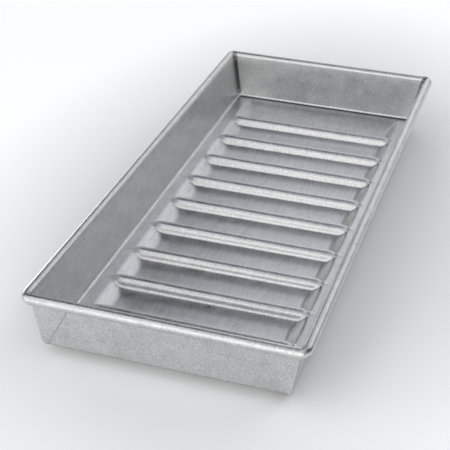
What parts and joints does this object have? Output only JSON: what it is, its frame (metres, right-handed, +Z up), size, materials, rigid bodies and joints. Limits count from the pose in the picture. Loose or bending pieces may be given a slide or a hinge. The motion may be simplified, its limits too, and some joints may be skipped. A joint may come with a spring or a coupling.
{
  "type": "roll baking pan",
  "caption": "Long rectangular sheet-metal baking pan with a cross-corrugated base, tapered walls, folded corners and a rim rolled over a wire.",
  "frame": {"origin": "under the middle of the pan, on the surface that the undersides of its troughs rest on", "axes": "+Z up, +Y along the pan's length, +X across it"},
  "size_m": [0.1694, 0.3872, 0.0421],
  "materials": {
    "sheet_steel": "satin aluminised sheet with a fine mottled grain",
    "wire_steel": "plain drawn wire"
  },
  "bodies": {
    "root": {"pan_body": "sheet_steel", "corner_fold_front_left": "sheet_steel", "corner_fold_front_right": "sheet_steel", "corner_fold_back_left": "sheet_steel", "corner_fold_back_right": "sheet_steel", "rim_wire": "wire_steel"}
  },
  "joints": []
}
